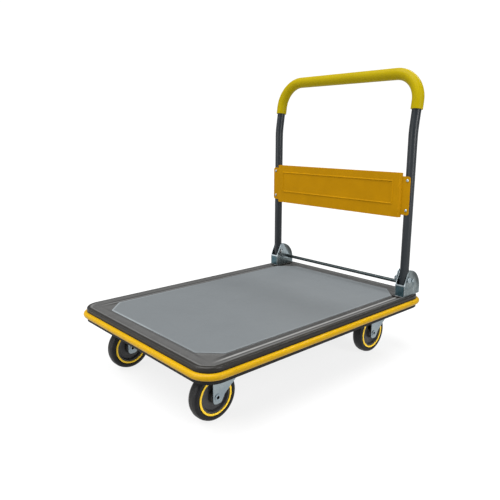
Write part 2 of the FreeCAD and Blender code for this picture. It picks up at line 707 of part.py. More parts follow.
def bead_block(name, foot_spread, top_spread):
    """Tapered block that stands out of the panel's face by the bead's height."""
    body = new_body(name)
    foot = outline(sketch_on(body, f"{name}_foot", "XZ_Plane", -d.panel_front - d.panel_gauge / 2),
                   bead_frame(foot_spread))
    top = outline(sketch_on(body, f"{name}_top", "XZ_Plane", d.emboss_depth - d.panel_front),
                  bead_frame(top_spread))
    loft = body.newObject("PartDesign::AdditiveLoft", f"{name}_loft")
    loft.Profile = foot
    loft.Sections = [top]
    loft.Ruled = True
    return body


def build_panel():
    """Pressed cross panel: open-backed tray with an embossed face and a screwed tab at each end."""
    rear = d.handle_reach - d.tube_radius
    tab_front = rear - d.panel_gauge
    flare_half = d.panel_half + d.panel_flare
    outside = tray("tray_outside", d.panel_front, d.panel_half, rear + d.panel_gauge, flare_half, Dim.of(0))
    inside = tray("tray_inside", d.panel_front + d.panel_gauge, d.panel_half - d.panel_gauge,
                  rear + d.panel_gauge * 2, flare_half - d.panel_gauge, d.panel_gauge)
    bead = minus("bead_ring", bead_block("bead_outside", Dim.of(0), -d.emboss_slope),
                 [bead_block("bead_inside", -d.bead_width, d.emboss_slope - d.bead_width)])
    tabs = []
    for side, sign in SIDES.items():
        start = flare_half - d.panel_gauge
        width = d.tab_half_outer - start
        left = start if sign > 0 else -d.tab_half_outer
        plate = box(f"tab_plate_{side}", (left, tab_front, d.tab_bottom),
                    (width, d.panel_gauge, d.tab_top - d.tab_bottom))
        doc.recompute()
        rounded = doc.addObject("Part::Fillet", f"tab_{side}")
        rounded.Base = plate
        outer_x = sign * d.tab_half_outer.value
        rounded.Edges = [(number, d.tab_round.value, d.tab_round.value)
                         for number, edge in enumerate(plate.Shape.Edges, start=1)
                         if abs(edge.BoundBox.XMin - outer_x) < 1e-6
                         and abs(edge.BoundBox.XMax - outer_x) < 1e-6
                         and edge.BoundBox.ZLength < 1e-6]
        tabs.append(rounded)
    pressed = union("panel_pressed", [minus("panel_tray", union("panel_outside", [outside] + tabs), [inside]),
                                      bead])
    holes = [cylinder(f"tab_hole_{side}_{number}", (sign * d.hinge_offset, tab_front - 1, level),
                      d.screw_radius, d.panel_gauge + 2, ALONG_Y)
             for side, sign in SIDES.items() for number, level in enumerate((d.screw_low, d.screw_high))]
    node("back_panel", minus("panel_drilled", pressed, holes))

    screws = []
    for side, sign in SIDES.items():
        for number, level in enumerate((d.screw_low, d.screw_high)):
            name = f"panel_screw_{side}_{number}"
            x = sign * d.hinge_offset
            screws.append(union(name, [
                cylinder(f"{name}_head", (x, tab_front - d.screw_head_height, level), d.screw_head_radius,
                         d.screw_head_height, ALONG_Y),
                cylinder(f"{name}_shank", (x, tab_front, level), d.screw_radius,
                         d.tube_wall + d.panel_gauge + 2, ALONG_Y)]))
    node("panel_screws", group("panel_screw_set", screws))


# ------------------------------------------------------------------- casters

def caster_names():
    """Name, side sign and kingpin position of each caster."""
    for end, king in ENDS.items():
        for side, sign in SIDES.items():
            yield f"{end}_{side}", sign * d.caster_offset, king


def build_caster_top(name, x, king):
    """Mounting plate with the upper ball race, fixed to the cross member."""
    low = d.member_bottom - d.plate_gauge
    body = new_body(f"plate_{name}")
    sketch = outline(sketch_on(body, f"plate_outline_{name}", "XY_Plane", low),
                     rectangle(d.plate_length / 2, d.plate_width / 2))
    slab = pad(body, f"plate_slab_{name}", sketch, d.plate_gauge)
    dress(body, "Fillet", f"plate_corners_{name}", slab, upright, Radius=d.plate_corner)
    put(body, x, king, 0)
    drop = low - d.race_drop
    skirt = cylinder(f"race_skirt_{name}", (x, king, drop), d.race_radius, d.race_drop)
    cavity = cylinder(f"race_cavity_{name}", (x, king, drop - 1), d.race_radius - d.race_wall,
                      d.race_drop - d.race_roof + 1)
    holes = [cylinder(f"plate_hole_{name}_{number}",
                      (x + across * d.plate_hole_x, king + along * d.plate_hole_y, low - 1),
                      d.plate_hole_radius, d.plate_gauge + 2)
             for number, (across, along) in enumerate(PLATE_CORNERS)]
    bore = cylinder(f"plate_bore_{name}", (x, king, low - d.race_roof - 1), d.kingpin_radius,
                    d.plate_gauge + d.race_roof + 2)
    top = union(f"plate_race_{name}", [body, skirt])
    node(f"caster_plate_{name}", minus(f"plate_drilled_{name}", top, [cavity, bore] + holes))


def build_caster_bolts():
    """Four bolts for each caster, heads under its plate and nuts inside the cross member."""
    seat = d.member_bottom - d.plate_gauge
    nut = d.member_bottom + d.member_gauge
    bolts = [bolt(f"caster_bolt_{name}_{number}",
                  (x + across * d.plate_hole_x, king + along * d.plate_hole_y),
                  seat - d.bolt_head_height, nut, seat, nut + d.nut_height + d.bolt_tip)
             for name, x, king in caster_names()
             for number, (across, along) in enumerate(PLATE_CORNERS)]
    node("caster_bolts", group("caster_bolt_set", bolts))


def build_kingpins():
    """Swivel pins pressed into the plates, each with its nut under the fork's crown."""
    pins = []
    under = d.fork_top - d.fork_gauge - d.swivel_gap
    for name, x, king in caster_names():
        pins.append(union(f"kingpin_{name}", [
            cylinder(f"kingpin_shank_{name}", (x, king, under), d.kingpin_radius, d.member_bottom - under),
            hexagon(f"kingpin_nut_{name}", (x, king, under - d.kingpin_nut_height), d.kingpin_head_radius,
                    d.kingpin_nut_height)]))
    node("kingpins", group("kingpin_set", pins))


def build_balls():
    """Ball rings that run between the upper and lower races."""
    balls = []
    level = d.fork_top.value + d.lower_race_height.value + d.swivel_gap.value
    for name, x, king in caster_names():
        for number in range(int(d.ball_count.value)):
            turn = 2 * math.pi * number / d.ball_count.value
            centre = Vector(x.value + d.ball_ring.value * math.cos(turn),
                            king.value + d.ball_ring.value * math.sin(turn), level)
            balls.append(Part.makeSphere(d.ball_radius.value, centre))
    node("race_balls", computed("ball_rings", Part.makeCompound(balls)))


def build_fork(name, x, king):
    """Pressed fork: crown with the kingpin hole and two legs that lead forward to the axle."""
    axle = king - d.caster_trail
    body = new_body(f"fork_{name}")
    side = sketch_on(body, f"fork_side_{name}", "YZ_Plane", x)
    tip = d.axle_level - d.fork_toe_drop
    outline(side, [(axle - d.fork_lead, d.fork_top), (axle - d.fork_lead, tip),
                   (axle + d.fork_toe_reach, tip),
                   (axle + d.fork_waist_reach, d.axle_level + d.fork_waist_rise),
                   (axle + d.fork_heel, d.axle_level + d.fork_heel_level), (axle + d.fork_heel, d.fork_top)])
    block = pad(body, f"fork_block_{name}", side, d.fork_half * 2, midplane=True)

    def toe(edge):
        box_of = edge.BoundBox
        return (box_of.XLength > 1 and abs(box_of.ZMin - tip.value) < 1e-4
                and abs(box_of.ZMax - tip.value) < 1e-4)

    rounded = dress(body, "Fillet", f"fork_toe_{name}", block, toe, Radius=d.fork_toe_round)

    def crown(edge):
        box_of = edge.BoundBox
        return (box_of.YLength > 1 and box_of.XLength < 1e-4 and abs(box_of.ZMin - d.fork_top.value) < 1e-4
                and abs(box_of.ZMax - d.fork_top.value) < 1e-4)

    dress(body, "Fillet", f"fork_shoulder_{name}", rounded, crown, Radius=d.fork_bend)
    gap = d.fork_half - d.fork_gauge
    throat = box(f"fork_throat_{name}", (x - gap, axle - d.fork_lead - 1, 0),
                 (gap * 2, d.fork_lead + d.fork_heel + 2, d.fork_top - d.fork_gauge))
    bore = cylinder(f"fork_bore_{name}", (x, king, d.fork_top - d.fork_gauge - 1),
                    d.kingpin_radius + d.pivot_fit, d.fork_gauge + 2)
    axle_bore = cylinder(f"fork_axle_bore_{name}", (x - d.fork_half - 1, axle, d.axle_level),
                         d.axle_radius, d.fork_half * 2 + 2, ALONG_X)
    node(f"caster_fork_{name}", minus(f"fork_drilled_{name}", body, [throat, bore, axle_bore]))

    ring = cylinder(f"lower_race_ring_{name}", (x, king, d.fork_top), d.lower_race_radius,
                    d.lower_race_height)
    track = doc.addObject("Part::Torus", f"lower_race_track_{name}")
    bind(track, Radius1=d.ball_ring, Radius2=d.ball_radius + d.swivel_gap)
    put(track, x, king, d.fork_top + d.lower_race_height + d.swivel_gap)
    centre = cylinder(f"lower_race_centre_{name}", (x, king, d.fork_top - 1), d.kingpin_head_radius,
                      d.lower_race_height + 2)
    node(f"caster_race_{name}", minus(f"lower_race_{name}", ring, [track, centre]))


def build_axle(name, x, king):
    """Tubular axle whose ends are flared over the fork's legs."""
    place = (king - d.caster_trail, d.axle_level)
    reach = d.fork_half + d.axle_flange_height
    shank = cylinder(f"axle_shank_{name}", (x - reach, *place), d.axle_radius, reach * 2, ALONG_X)
    flanges = [cylinder(f"axle_flange_{name}_{number}", (start, *place), d.axle_flange_radius,
                        d.axle_flange_height, ALONG_X)
               for number, start in enumerate((x - reach, x + d.fork_half))]
    bore = cylinder(f"axle_bore_{name}", (x - reach - 1, *place), d.axle_bore, reach * 2 + 2, ALONG_X)
    node(f"caster_axle_{name}", minus(f"axle_tube_{name}", union(f"axle_solid_{name}", [shank] + flanges),
                                      [bore]))


def turned(name, profile, x, axle):
    """A wheel piece: half section (distance along the axle, radius) turned about the axle."""
    body = new_body(name)
    sketch = outline(sketch_on(body, f"{name}_section", "XY_Plane"), profile)
    turn = body.newObject("PartDesign::Revolution", f"{name}_turn")
    turn.Profile = sketch
    turn.ReferenceAxis = (sketch, ["H_Axis"])
    turn.Angle = 360
    put(body, x, axle, d.axle_level)
    return body, turn


def mirrored(half):
    """Complete a half section given from the middle of the rim outwards to one face."""
    return half + [(-across, radius) for across, radius in reversed(half)]


def build_wheel(name, x, king):
    axle = king - d.caster_trail
    tyre, section = turned(f"tyre_{name}", mirrored([
        (d.wheel_half / 3, d.wheel_radius), (d.wheel_half - 3.5, d.wheel_radius - 2.2),
        (d.wheel_half, d.wheel_radius - 7.5), (d.wheel_half - 0.8, d.wheel_radius - 12.5),
        (d.side_half, d.ring_outer + 0.6), (d.side_half, d.tyre_inner)]), x, axle)
    crown = (d.wheel_radius - 2.2, d.wheel_radius - 7.5)

    def shoulder(edge):
        radii = [abs(abs(edge.Curve.Radius) - item.value) < 1e-4 for item in crown] if edge.Closed else []
        return any(radii)

    dress(tyre, "Fillet", f"tyre_shoulder_{name}", section, shoulder, Radius=3)
    node(f"tyre_{name}", tyre)

    core, _ = turned(f"core_{name}", mirrored([
        (d.side_half, d.tyre_inner), (d.side_half, d.web_outer), (d.web_half, d.web_outer - 3),
        (d.web_half, d.hub_radius + 3), (d.hub_half - 1, d.hub_radius), (d.hub_half, d.hub_radius - 1),
        (d.hub_half, d.bearing_radius)]), x, axle)
    node(f"wheel_{name}_core", core)

    rings = []
    for side, sign in SIDES.items():
        band, _ = turned(f"band_{name}_{side}", [
            (sign * d.side_half, d.tyre_inner), (sign * d.side_half, d.ring_outer),
            (sign * (d.ring_half - 0.4), d.ring_outer), (sign * d.ring_half, d.ring_outer - 0.6),
            (sign * d.ring_half, d.tyre_inner + 0.6), (sign * (d.ring_half - 0.4), d.tyre_inner)], x, axle)
        rings.append(band)
    node(f"wheel_{name}_rings", group(f"bands_{name}", rings))

    outer = cylinder(f"bush_outer_{name}", (x - d.hub_half, axle, d.axle_level), d.bearing_radius,
                     d.hub_half * 2, ALONG_X)
    bore = cylinder(f"bush_bore_{name}", (x - d.hub_half - 1, axle, d.axle_level),
                    d.axle_radius + d.axle_fit, d.hub_half * 2 + 2, ALONG_X)
    node(f"wheel_{name}_bush", minus(f"bush_{name}", outer, [bore]))


# --------------------------------------------------------------------- build

build_deck()
build_mat()
build_bumper()
build_members()
build_brackets()
build_bracket_bolts()
build_pivot_bolts()
build_anchor_rivets()
build_latch()
build_springs()
build_handle()
build_panel()
for caster, x_place, king_place in caster_names():
    build_caster_top(caster, x_place, king_place)
    build_fork(caster, x_place, king_place)
    build_axle(caster, x_place, king_place)
    build_wheel(caster, x_place, king_place)
build_caster_bolts()
build_kingpins()
build_balls()

doc.recompute()
for item in doc.Objects:
    if {"Invalid", "Error"} & set(item.State):
        raise RuntimeError(f"{item.Name} failed: {item.State}")
for label, item in nodes.items():
    if item.Shape.isNull() or not item.Shape.isValid():
        raise RuntimeError(f"{label} has a bad shape")

os.makedirs("parts", exist_ok=True)
for label, item in nodes.items():
    item.Shape.exportStep(f"parts/{label}.step")
print(len(nodes), "nodes")
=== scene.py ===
"""Looks for the folding platform cart: materials, small fittings, floor, lights and camera."""
import json
import math

import bmesh
import bpy
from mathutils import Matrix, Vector


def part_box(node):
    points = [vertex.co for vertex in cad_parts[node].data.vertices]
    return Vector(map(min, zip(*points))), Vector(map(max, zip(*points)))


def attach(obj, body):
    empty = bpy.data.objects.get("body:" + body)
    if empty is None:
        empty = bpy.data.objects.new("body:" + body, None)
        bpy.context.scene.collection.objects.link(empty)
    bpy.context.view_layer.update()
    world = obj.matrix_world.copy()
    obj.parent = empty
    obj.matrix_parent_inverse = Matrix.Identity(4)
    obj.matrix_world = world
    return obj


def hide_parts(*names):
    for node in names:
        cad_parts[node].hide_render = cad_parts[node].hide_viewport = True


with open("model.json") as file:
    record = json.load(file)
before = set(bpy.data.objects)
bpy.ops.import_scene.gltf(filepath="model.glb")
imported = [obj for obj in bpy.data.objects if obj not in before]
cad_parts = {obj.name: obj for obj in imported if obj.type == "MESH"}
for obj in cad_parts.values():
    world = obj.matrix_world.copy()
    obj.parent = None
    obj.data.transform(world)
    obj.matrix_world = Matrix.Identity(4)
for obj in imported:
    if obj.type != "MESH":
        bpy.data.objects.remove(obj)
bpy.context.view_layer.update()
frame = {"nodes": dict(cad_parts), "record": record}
nodes = frame["nodes"]

ENDS = ("front", "rear")
SIDES = ("left", "right")
CASTERS = [f"{end}_{side}" for end in ENDS for side in SIDES]

# Where the materials find the deck, the casters and the hinges, in metres.
DECK_HALF_WIDTH, DECK_HALF_LENGTH, DECK_CORNER_RADIUS = 0.300, 0.428, 0.048
MAT_HALF_WIDTH, MAT_HALF_LENGTH, MAT_CORNER_SUM = 0.250, 0.382, 0.582
WHEEL_OUT, WHEEL_ROW_MIDDLE, WHEEL_ROW_HALF, AXLE_HEIGHT = 0.200, -0.0215, 0.3125, 0.0635
HINGE_OUT, HINGE_ARC_Y, HINGE_ARC_Z = 0.275, 0.358, 0.2045
BUMPER_SEAM_X = 0.03
DIAGONAL = 0.7071


# ------------------------------------------------------------------ materials

class Nodes:
    """A few shorthands for building a material's node tree."""

    def __init__(self, name):
        self.material = bpy.data.materials.new(name)
        self.material.use_nodes = True
        self.tree = self.material.node_tree
        self.shader = self.tree.nodes["Principled BSDF"]
        self.place = self.add("ShaderNodeTexCoord").outputs["Object"]

    def add(self, kind, **settings):
        made = self.tree.nodes.new(kind)
        for key, value in settings.items():
            setattr(made, key, value)
        return made

    def link(self, source, target):
        self.tree.links.new(source, target)

    def stretched(self, scale):
        """Object coordinates stretched along the axes."""
        mapping = self.add("ShaderNodeMapping")
        mapping.inputs["Scale"].default_value = scale
        self.link(self.place, mapping.inputs["Vector"])
        return mapping.outputs["Vector"]

    def noise(self, scale, detail=3.0, stretch=None, rough=0.55):
        made = self.add("ShaderNodeTexNoise")
        made.inputs["Scale"].default_value = scale
        made.inputs["Detail"].default_value = detail
        made.inputs["Roughness"].default_value = rough
        self.link(self.stretched(stretch) if stretch else self.place, made.inputs["Vector"])
        return made.outputs["Fac"]

    def cells(self, scale, feature="F1", output="Distance"):
        made = self.add("ShaderNodeTexVoronoi", feature=feature)
        made.inputs["Scale"].default_value = scale
        self.link(self.place, made.inputs["Vector"])
        return made.outputs[output]

    def between(self, value, low, high, from_low=0.3, from_high=0.7):
        made = self.add("ShaderNodeMapRange")
        for socket, number in (("From Min", from_low), ("From Max", from_high),
                               ("To Min", low), ("To Max", high)):
            made.inputs[socket].default_value = number
        self.link(value, made.inputs["Value"])
        return made.outputs["Result"]

    def maths(self, operation, first, second):
        made = self.add("ShaderNodeMath", operation=operation)
        for socket, item in zip(made.inputs, (first, second)):
            if isinstance(item, (int, float)):
                socket.default_value = item
            else:
                self.link(item, socket)
        return made.outputs[0]

    def tint(self, value, dark, light):
        """Blend two colours by a value from 0 to 1."""
        made = self.add("ShaderNodeMix", data_type="RGBA")
        made.inputs["A"].default_value = (*dark, 1)
        made.inputs["B"].default_value = (*light, 1)
        self.link(value, made.inputs["Factor"])
        return made.outputs["Result"]

    def layer(self, value, under, colour):
        """Lay a plain colour over another colour output."""
        made = self.add("ShaderNodeMix", data_type="RGBA")
        self.link(value, made.inputs["Factor"])
        self.link(under, made.inputs["A"])
        made.inputs["B"].default_value = (*colour, 1)
        return made.outputs["Result"]

    def bump(self, height, strength, distance, under=None):
        made = self.add("ShaderNodeBump")
        made.inputs["Strength"].default_value = strength
        made.inputs["Distance"].default_value = distance
        self.link(height, made.inputs["Height"])
        if under:
            self.link(under, made.inputs["Normal"])
        return made.outputs["Normal"]

    def axes(self):
        """The three object coordinates as separate outputs."""
        made = self.add("ShaderNodeSeparateXYZ")
        self.link(self.place, made.inputs[0])
        return made.outputs["X"], made.outputs["Y"], made.outputs["Z"]

    def plus(self, first, second):
        return self.maths("ADD", first, second)

    def less(self, first, second):
        return self.maths("SUBTRACT", first, second)

    def off(self, value, centre):
        """Distance from a centre on one axis."""
        return self.maths("ABSOLUTE", self.less(value, centre), 0)

    def reach(self, first, second):
        """Length of a vector with two parts."""
        squares = self.plus(self.both(first, first), self.both(second, second))
        return self.maths("POWER", squares, 0.5)

    def below(self, value, limit, soft):
        """1 where a value is under a limit, fading to 0 over a soft width."""
        return self.between(value, 1, 0, limit, limit + soft)

    def both(self, first, second):
        """Product: 1 only where both are 1."""
        return self.maths("MULTIPLY", first, second)

    def either(self, first, second):
        """Larger value: 1 where one of them is 1."""
        return self.maths("MAXIMUM", first, second)

    def peel(self, fine, coarse):
        """Orange peel of sprayed paint: a fine bump over a coarse one."""
        return self.bump(self.noise(620, 2), fine, 0.00012, self.bump(self.noise(150, 2), coarse, 0.0003))

    def edges(self, radius):
        """1 along sharp edges and 0 on flat faces."""
        flat, sharp = 0.97, 0.80
        rounded = self.add("ShaderNodeBevel", samples=6)
        rounded.inputs["Radius"].default_value = radius
        compare = self.add("ShaderNodeVectorMath", operation="DOT_PRODUCT")
        self.link(rounded.outputs["Normal"], compare.inputs[0])
        self.link(self.add("ShaderNodeNewGeometry").outputs["Normal"], compare.inputs[1])
        return self.between(compare.outputs["Value"], 1, 0, sharp, flat)

    def finish(self, colour=None, roughness=None, normal=None, **constants):
        """Link the outputs, set constants on the shader's own sockets and give back the material."""
        for socket, source in (("Base Color", colour), ("Roughness", roughness), ("Normal", normal)):
            if source is not None:
                self.link(source, self.shader.inputs[socket])
        for key, value in constants.items():
            self.shader.inputs[key.replace("_", " ")].default_value = value
        return self.material


def shade(colour, factor):
    return tuple(min(1.0, channel * factor) for channel in colour)


def paint(name, colour, gloss, worn, specular, dust_and_painted_light, peel=0.35):
    """Powder coat or enamel: orange peel, faint mottling, scuffs, dust and rubbed edges."""
    n = Nodes(name)
    mottle = n.between(n.noise(14, 4), 0, 1)
    base = n.tint(mottle, shade(colour, 0.93), shade(colour, 1.06))
    dusty = n.between(n.noise(31, 8), 0, 0.05, 0.5, 0.8)
    base = n.layer(dusty, base, dust_and_painted_light)
    scuffs = n.between(n.noise(70, 6, (1, 1, 0.16)), 0, 0.3, 0.62, 0.8)
    colour_out = n.layer(scuffs, base, shade(colour, 1.35))
    rubbed = n.both(n.edges(0.0012), n.between(n.noise(55, 5), 0.15, 0.85, 0.35, 0.65))
    colour_out = n.layer(rubbed, colour_out, shade(colour, worn))
    dull = n.plus(n.between(n.noise(38, 5), gloss - 0.05, gloss + 0.07), n.both(scuffs, 0.3))
    return n.finish(colour_out, dull, n.peel(peel, peel * 0.6), Specular_IOR_Level=specular)


def deck_paint(name, colour, dust_and_painted_light):
    """Dark powder coat with a lighter flat top, partly dust and partly painted light, painted highlight and
    painted shade lines along the border creases, and painted shade beside the bumper.
    """
    n = Nodes(name)
    x, y, z = n.axes()
    far_x, far_y = n.off(x, 0), n.off(y, 0)
    past_x = n.less(far_x, DECK_HALF_WIDTH - DECK_CORNER_RADIUS)
    past_y = n.less(far_y, DECK_HALF_LENGTH - DECK_CORNER_RADIUS)
    round_corner = n.reach(n.either(past_x, 0), n.either(past_y, 0))
    within = n.maths("MINIMUM", n.either(past_x, past_y), 0)
    inset = n.less(n.less(DECK_CORNER_RADIUS, round_corner), within)
    mottle = n.between(n.noise(14, 4), 0, 1)
    base = n.tint(mottle, shade(colour, 0.9), shade(colour, 1.1))
    # Painted light: the flat upward-facing border takes the lighter dust tone in streaks, partly real dust
    # and partly a painted lit top against the darker sides and rim.
    facing = n.add("ShaderNodeSeparateXYZ")
    n.link(n.add("ShaderNodeNewGeometry").outputs["Normal"], facing.inputs[0])
    level = n.both(n.between(facing.outputs["Z"], 0, 1, 0.55, 0.9),
                   n.between(inset, 0, 1, 0.008, 0.0105))
    streaks = n.between(n.noise(42, 6), 0.82, 1.0, 0.35, 0.65)
    colour_out = n.layer(n.both(level, streaks), base, dust_and_painted_light)
    nearer_side = n.less(n.less(DECK_HALF_WIDTH, far_x), n.less(DECK_HALF_LENGTH, far_y))
    beside = n.below(nearer_side, -0.002, 0.004)
    long_side = n.both(beside, n.between(far_y, 1, 0, 0.34, 0.385))
    short_end = n.both(n.less(1, beside), n.between(far_x, 1, 0, 0.20, 0.27))
    crest = n.both(n.between(far_y, 0, 1, 0.385, 0.400),
                   n.between(n.off(y, 0.4), 0.3, 1, 0.1, 0.7))
    # Painted highlight and painted shade lines round the border, for light on the crease and crest and shade
    # on the slopes beside the mat: first and last distance from the rim, where, amount, tone.
    fade = 0.001
    for first, last, where, amount, tone in (
            (0.0375, 0.0480, long_side, 0.9, 0.35),
            (0.0300, 0.0365, long_side, 1.0, 2.9),
            (0.0245, 0.0285, long_side, 0.9, 0.3),
            (0.0100, 0.0225, long_side, 0.9, 1.45),
            (0.0410, 0.0470, short_end, 0.8, 0.5),
            (0.0110, 0.0165, crest, 0.9, 1.75)):
        band = n.both(n.between(inset, 0, 1, first - fade, first + fade),
                      n.between(inset, 1, 0, last - fade, last + fade))
        patchy = n.between(n.noise(30, 6), amount * 0.7, amount)
        line = n.both(n.both(band, patchy), n.both(where, level))
        colour_out = n.layer(line, colour_out, shade(dust_and_painted_light, tone))
    # Painted shade: a dark line along the border beside the mat's left edge.
    left_painted_shade = n.both(n.between(x, 1, 0, -0.262, -0.250), level)
    colour_out = n.layer(n.both(left_painted_shade, n.between(far_y, 0.5, 0, 0.33, 0.40)), colour_out,
                         shade(dust_and_painted_light, 0.3))
    # Painted shade: the skirt just above the bumper is darkened almost to black where the bumper meets it.
    grime_and_painted_shade = n.both(n.between(z, 1, 0, 0.1725, 0.179), n.between(inset, 1, 0, 0.004, 0.008))
    colour_out = n.layer(n.both(grime_and_painted_shade, 0.85), colour_out, (0.004, 0.0035, 0.003))
    scuffs = n.between(n.noise(70, 6, (1, 1, 0.16)), 0, 0.22, 0.62, 0.8)
    colour_out = n.layer(scuffs, colour_out, shade(dust_and_painted_light, 1.1))
    dull = n.plus(n.between(n.noise(38, 5), 0.33, 0.44), n.both(n.either(level, grime_and_painted_shade), 0.25))
    return n.finish(colour_out, dull, n.peel(0.3, 0.2), Specular_IOR_Level=0.22)


def plated(name, colour, gloss=0.27, rim=2.0):
    """Bright zinc: bluish with a faint yellow cast, spangled, slightly wavy, with painted highlights on its
    edges.
    """
    n = Nodes(name)
    cast = n.between(n.noise(26, 4), 0, 1)
    base = n.tint(cast, shade(colour, 0.84), (colour[0] * 1.08, colour[1] * 1.04, colour[2] * 0.97))
    spots = n.between(n.noise(210, 5), 0, 0.4, 0.6, 0.78)
    colour_out = n.layer(spots, base, shade(colour, 0.55))
    # Painted highlight: sharp edges lightened by the rim factor.
    colour_out = n.layer(n.both(n.edges(0.0014), 0.8), colour_out, shade(colour, rim))
    spangle = n.cells(160, output="Color")
    dull = n.plus(n.between(spangle, gloss - 0.07, gloss + 0.07, 0, 1),
                  n.between(n.noise(45, 5), -0.03, 0.08))
    normal = n.bump(n.noise(300, 4), 0.25, 0.00012, n.bump(n.noise(40, 2), 0.3, 0.0006))
    return n.finish(colour_out, dull, normal, Metallic=0.95)


def hinge_plating(name, colour):
    """Zinc on the hinge plates: painted highlights on the folded edges, painted shade along the rear rims
    and a bluish front plate.
    """
    n = Nodes(name)
    x, y, z = n.axes()
    far_x = n.off(x, 0)
    cast = n.between(n.noise(60, 5), 0, 1, 0.35, 0.65)
    base = n.tint(cast, shade(colour, 0.62), (colour[0] * 1.5, colour[1] * 1.3, colour[2] * 1.2))
    streaks = n.between(n.noise(150, 6, (1, 1, 0.3)), 0, 0.6, 0.55, 0.75)
    colour_out = n.layer(streaks, base, shade(colour, 2.0))
    # Painted shade: a dark band along the rear rim of the cheek arcs.
    from_arc = n.reach(n.less(y, HINGE_ARC_Y), n.less(z, HINGE_ARC_Z))
    rear = n.both(n.between(y, 0, 1, 0.362, 0.392), n.between(z, 0, 1, 0.200, 0.225))
    painted_rim_shade = n.both(n.both(n.between(from_arc, 0, 1, 0.043, 0.054), rear), 0.85)
    colour_out = n.layer(painted_rim_shade, colour_out, (0.035, 0.040, 0.040))
    front = n.between(y, 1, 0, 0.3385, 0.3395)
    middle = n.below(n.off(far_x, HINGE_OUT), 0.0120, 0.0030)
    plate = n.both(n.both(front, middle), n.between(z, 1, 0, 0.2165, 0.2190))
    bluish = n.both(plate, n.between(n.noise(110, 5), 0.55, 1))
    colour_out = n.layer(bluish, colour_out, (0.045, 0.105, 0.130))
    # Painted highlight: the top fold of the front plate and the sharp edges lightened to pale zinc.
    folded_highlight = n.either(n.both(front, n.between(z, 0, 1, 0.2185, 0.2205)), n.edges(0.0022))
    colour_out = n.layer(n.both(folded_highlight, 0.8), colour_out, (0.66, 0.74, 0.78))
    dull = n.plus(n.between(n.noise(75, 5), 0.2, 0.34), n.both(painted_rim_shade, 0.1))
    normal = n.bump(n.noise(300, 4), 0.25, 0.00012, n.bump(n.noise(46, 3), 0.5, 0.0012))
    return n.finish(colour_out, dull, normal, Metallic=0.9)


def moulded(name, colour, gloss, grain=420, grain_strength=0.3, specular=0.3, grime_and_painted_shade=0.35, seam=False):
    """Moulded or extruded plastic: fine grain, slow colour drift, dust, stains and perhaps a butt seam."""
    n = Nodes(name)
    drift = n.between(n.noise(9, 3), 0, 1)
    base = n.tint(drift, shade(colour, 0.95), shade(colour, 1.05))
    dust_and_painted_light = n.between(n.noise(55, 7), 0, 0.10, 0.52, 0.8)
    pale = tuple(channel * 0.9 + 0.012 for channel in colour)
    colour_out = n.layer(dust_and_painted_light, base, pale)
    stains = n.between(n.noise(120, 8, (1, 1, 0.4)), 0, grime_and_painted_shade, 0.60, 0.82)
    colour_out = n.layer(stains, colour_out, shade(colour, 0.55))
    dull = n.plus(n.between(n.noise(30, 5), gloss - 0.05, gloss + 0.06), n.both(dust_and_painted_light, 0.6))
    normal = n.bump(n.noise(grain, 3), grain_strength, 0.00015)
    if seam:
        x, y, _ = n.axes()
        butt = n.both(n.below(n.off(x, BUMPER_SEAM_X), 0.0002, 0.0003), n.between(y, 0, 1, 0.40, 0.42))
        colour_out = n.layer(butt, colour_out, shade(colour, 0.05))
        normal = n.bump(n.both(butt, -1), 1, 0.0006, normal)
    return n.finish(colour_out, dull, normal, Specular_IOR_Level=specular)


def vinyl_mat(name, colour):
    """Matt vinyl sheet with a leathery pebble, wear where loads slide and a painted highlight along its
    edge.
    """
    n = Nodes(name)
    drift = n.between(n.noise(4, 3), 0, 1)
    base = n.tint(drift, shade(colour, 0.97), shade(colour, 1.03))
    rubbed = n.between(n.noise(11, 7, (1, 0.28, 1)), 0, 0.2, 0.52, 0.78)
    colour_out = n.layer(rubbed, base, shade(colour, 1.12))
    x, y, _ = n.axes()
    far_x, far_y = n.off(x, 0), n.off(y, 0)
    rim = n.either(n.less(far_x, MAT_HALF_WIDTH), n.less(far_y, MAT_HALF_LENGTH))
    cut = n.both(n.less(n.plus(far_x, far_y), MAT_CORNER_SUM), DIAGONAL)
    # Painted highlight along the mat's edge, strongest on the front and left sides that face the light.
    lit_side = n.between(n.less(n.plus(x, y), -0.30), 1, 0, -0.12, 0.05)
    pale = n.both(n.between(n.either(rim, cut), 0, 1, -0.0060, -0.0014), n.either(lit_side, 0.3))
    colour_out = n.layer(pale, colour_out, shade(colour, 1.9))
    pebble = n.cells(520, "SMOOTH_F1")
    dull = n.between(n.noise(22, 5), 0.56, 0.66)
    normal = n.bump(pebble, 0.3, 0.0002, n.bump(n.noise(900, 2), 0.2, 0.0001))
    return n.finish(colour_out, dull, normal, Specular_IOR_Level=0.3)


def wheel_place(n):
    """Distance from the wheel's middle plane and from its axle, for any of the four wheels."""
    x, y, z = n.axes()
    side = n.off(n.off(x, 0), WHEEL_OUT)
    along = n.less(n.off(y, WHEEL_ROW_MIDDLE), WHEEL_ROW_HALF)
    return side, n.reach(along, n.less(z, AXLE_HEIGHT))


